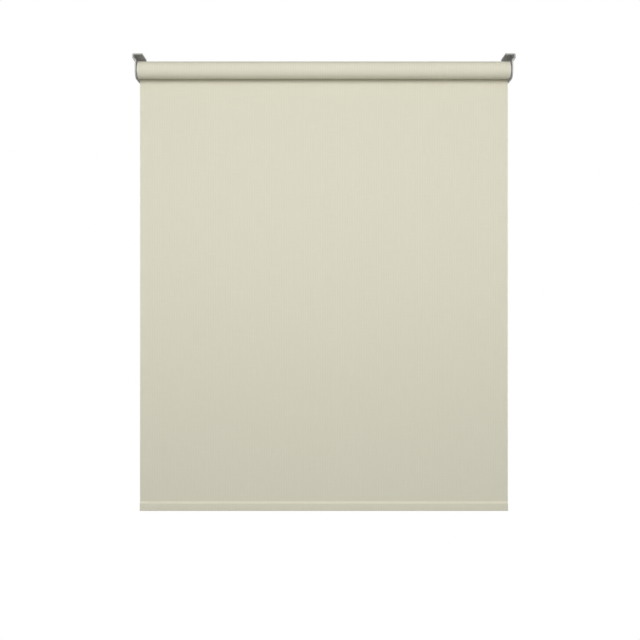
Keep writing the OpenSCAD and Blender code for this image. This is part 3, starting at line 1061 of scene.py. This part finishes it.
@dataclass
class RoundedFitting:
    """Rigid fitting whose moulded edges are eased."""

    node: str
    body: Body
    slot: Slot
    edge_r: float = 0.4 * MM
    edge_steps: int = 2
    flat_weight: int = 100
    flat_within: float = math.radians(0.5)

    def build(self, frame: dict, material: Material) -> Object:
        """Copies the node's form and eases its edges.

        Args:
            frame: The loaded frame.
            material: The fitting's material.

        Returns:
            The eased fitting.
        """
        piece = copy_of(frame["nodes"][self.node], f"{self.node}_eased")
        dress(piece, material, material)
        with editing(piece):
            bpy.ops.mesh.select_all(action="SELECT")
            bpy.ops.mesh.dissolve_limited(angle_limit=self.flat_within)
        apply_modifier(
            piece, "BEVEL", width=self.edge_r, segments=self.edge_steps,
            limit_method="ANGLE", angle_limit=SMOOTH_ANGLE, material=EASED_SLOT,
        )
        shade(piece, EASED_ANGLE)
        apply_modifier(
            piece, "WEIGHTED_NORMAL", mode="FACE_AREA", weight=self.flat_weight, keep_sharp=True
        )
        self.mark_edges(piece)
        dress(piece, material)
        seat(piece, self.body, self.slot, self.node)
        return piece

    def mark_edges(self, piece: Object) -> None:
        """Marks the eased faces, which the bevel left in the second slot, as rubbed."""
        wear_and_highlight_marks = piece.data.attributes.new(EDGE_WEAR, "FLOAT", "FACE")
        for face, wear_and_highlight in zip(piece.data.polygons, wear_and_highlight_marks.data):
            wear_and_highlight.value = float(face.material_index == EASED_SLOT)
            face.material_index = 0


@dataclass
class PinSpring:
    """Spring behind the pin; the real one shortens against its cap when the pin is pressed in, and this
    copy keeps its length.
    """

    travel: float

    def build(self, frame: dict, material: Material) -> Object:
        """Copies the spring's form.

        Args:
            frame: The loaded frame.
            material: The spring's material.

        Returns:
            The spring.
        """
        piece = copy_of(frame["nodes"]["pin_spring"], "pin_spring_coil")
        shade(piece, WIRE_ANGLE)
        dress(piece, material)
        seat(piece, Body.ROLLER, Slot.SPRING, "pin_spring")
        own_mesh(piece)
        return piece


@dataclass(frozen=True)
class SoftBox:
    """Soft lamp: where it hangs, what it points at, its width and height, power in watts and spread."""

    name: str
    place: tuple[float, float, float]
    aim: tuple[float, float, float]
    size: tuple[float, float]
    power: float
    glints: bool
    spread: float = math.pi

    def hang(self) -> None:
        """Hangs the lamp, out of the camera's sight, and out of reflections if it has no glints."""
        data = bpy.data.lights.new(self.name, "AREA")
        data.shape = "RECTANGLE"
        data.size, data.size_y = self.size
        data.energy = self.power
        data.spread = self.spread
        lamp = bpy.data.objects.new(self.name, data)
        lamp.location = self.place
        lamp.visible_camera = False
        lamp.visible_glossy = self.glints
        lamp.rotation_euler = (Vector(self.aim) - Vector(self.place)).to_track_quat("-Z", "Y").to_euler()
        bpy.context.scene.collection.objects.link(lamp)


LAMPS = (
    SoftBox(
        "key", place=(0.0, -2.25, 0.28), aim=(0.0, 0.0, 0.1), size=(3.2, 1.2), power=39.9, glints=True
    ),
    SoftBox(
        "middle_fill", place=(0.0, -2.25, 0.28), aim=(0.0, 0.0, -0.45), size=(3.2, 0.5), power=1.43,
        glints=True, spread=math.pi / 4,
    ),
    SoftBox(
        "back_fill", place=(0.9, 3.2, 0.7), aim=(0.0, 0.0, -0.5), size=(2.2, 1.6), power=85.0, glints=False
    ),
)


@dataclass
class Studio:
    """Camera, lamps, world and floor."""

    camera_place: tuple[float, float, float] = (-0.0093, -2.615, -0.6257)
    lens_mm: float = 61.74
    sensor_mm: float = 36.0
    light_level: float = 0.51
    light_above: float = 0.237
    light_below: float = 0.164
    light_band: tuple[float, float] = (0.05, 0.75)
    floor_z: float = -1.75
    floor_r: float = 1.15
    floor_sides: int = 96
    floor_colour: tuple[float, float, float, float] = (0.86, 0.86, 0.85, 1.0)
    floor_roughness: float = 0.9
    fade_from: float = 0.45

    def build(self) -> None:
        """Sets up everything that isn't part of the blind."""
        scene = bpy.context.scene
        scene.view_settings.view_transform = "Standard"
        self.set_camera()
        for lamp in LAMPS:
            lamp.hang()
        self.light_world()
        self.lay_floor()

    def set_camera(self) -> None:
        """Stands the camera level in front of the blind, as in the photograph."""
        data = bpy.data.cameras.new("camera")
        data.sensor_width = self.sensor_mm
        data.lens = self.lens_mm
        camera = bpy.data.objects.new("camera", data)
        camera.location = self.camera_place
        camera.rotation_euler = (math.pi / 2, 0, 0)
        bpy.context.scene.collection.objects.link(camera)
        bpy.context.scene.camera = camera

    def light_world(self) -> None:
        """Makes a world that is white to look at and gives a soft light, strongest from the level."""
        world = bpy.data.worlds.new("studio")
        bpy.context.scene.world = world
        world.use_nodes = True
        graph = Graph(world.node_tree)
        soft = world.node_tree.nodes["Background"]
        parts = graph.add("ShaderNodeSeparateXYZ")
        graph.feed(parts.inputs[0], graph.add("ShaderNodeTexCoord").outputs["Generated"])
        strength = self.light_level
        for upwards, end_light in ((1.0, self.light_above), (-1.0, self.light_below)):
            fall = graph.add("ShaderNodeMapRange", interpolation_type="SMOOTHSTEP")
            graph.feed(fall.inputs["Value"], graph.math("MULTIPLY", parts.outputs["Z"], upwards))
            graph.feed(fall.inputs["From Min"], self.light_band[0])
            graph.feed(fall.inputs["From Max"], self.light_band[1])
            graph.feed(fall.inputs["To Min"], 0.0)
            graph.feed(fall.inputs["To Max"], end_light - self.light_level)
            strength = graph.math("ADD", strength, fall.outputs["Result"])
        graph.feed(soft.inputs["Strength"], strength)
        soft.inputs["Color"].default_value = WHITE
        white = graph.add("ShaderNodeBackground")
        white.inputs["Color"].default_value = WHITE
        rays = graph.add("ShaderNodeLightPath").outputs
        seen = graph.math("MAXIMUM", rays["Is Camera Ray"], rays["Is Glossy Ray"])
        seen = graph.math("MAXIMUM", seen, rays["Is Transmission Ray"])
        mixed = graph.add("ShaderNodeMixShader")
        graph.feed(mixed.inputs[0], seen)
        graph.feed(mixed.inputs[1], soft.outputs[0])
        graph.feed(mixed.inputs[2], white.outputs[0])
        graph.feed(world.node_tree.nodes["World Output"].inputs["Surface"], mixed.outputs[0])

    def lay_floor(self) -> None:
        """Lays a pale round floor that fades out at its rim."""
        bpy.ops.object.select_all(action="DESELECT")
        bpy.ops.mesh.primitive_circle_add(
            vertices=self.floor_sides, radius=self.floor_r, fill_type="NGON", location=(0, 0, self.floor_z)
        )
        floor = bpy.context.object
        floor.name = "floor"
        material, graph, shader = new_material("pale_floor")
        shader.inputs["Base Color"].default_value = self.floor_colour
        shader.inputs["Roughness"].default_value = self.floor_roughness
        place = graph.add("ShaderNodeTexCoord").outputs["Object"]
        from_middle = graph.add("ShaderNodeVectorMath", operation="LENGTH")
        graph.feed(from_middle.inputs[0], place)
        fade = graph.add("ShaderNodeMapRange", interpolation_type="SMOOTHSTEP")
        graph.feed(fade.inputs["Value"], from_middle.outputs["Value"])
        graph.feed(fade.inputs["From Min"], self.fade_from * self.floor_r)
        graph.feed(fade.inputs["From Max"], self.floor_r)
        mixed = graph.add("ShaderNodeMixShader")
        graph.feed(mixed.inputs[0], fade.outputs["Result"])
        graph.feed(mixed.inputs[1], shader.outputs[0])
        graph.feed(mixed.inputs[2], graph.add("ShaderNodeBsdfTransparent").outputs[0])
        graph.feed(material.node_tree.nodes["Material Output"].inputs["Surface"], mixed.outputs[0])
        dress(floor, material)


def main() -> None:
    """Builds the blind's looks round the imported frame."""
    logging.basicConfig(level=logging.INFO, format="%(name)s: %(message)s")
    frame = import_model()
    effects = SharedEffects()
    cloth = ClothMaterials(*[side.material(effects) for side in (CLOTH_FACE, CLOTH_REVERSE, CLOTH_EDGE)])
    rigid = {slot: finish.material(effects) for slot, finish in RIGID_FINISHES.items()}
    Studio().build()
    for part in frame["record"]["subparts"]:
        slot = Slot(part["material_slot"])
        dress(frame["nodes"][part["node"]], rigid.get(slot, cloth.face))
    joints = {joint["name"]: joint for joint in frame["joints"]}
    axis = Vector(joints["roller_turn"]["pos_m"])
    RolledCloth(axis).build(cloth)
    HangingCloth(axis, joints["hem_drop"]["range_m"][1]).build(cloth)
    HemPocket().build(cloth)
    for fitting in (
        RoundedFitting("spring_bracket", Body.BRACKETS, Slot.BRACKET),
        RoundedFitting("idle_bracket", Body.BRACKETS, Slot.BRACKET),
        RoundedFitting("hem_cap_left", Body.HEM, Slot.MOULDED, edge_r=CAP_EDGE_R),
        RoundedFitting("hem_cap_right", Body.HEM, Slot.MOULDED, edge_r=CAP_EDGE_R),
    ):
        fitting.build(frame, rigid[fitting.slot])
    PinSpring(abs(joints["idle_pin_press"]["range_m"][0])).build(frame, rigid[Slot.SPRING])


if __name__ == "__main__":
    main()
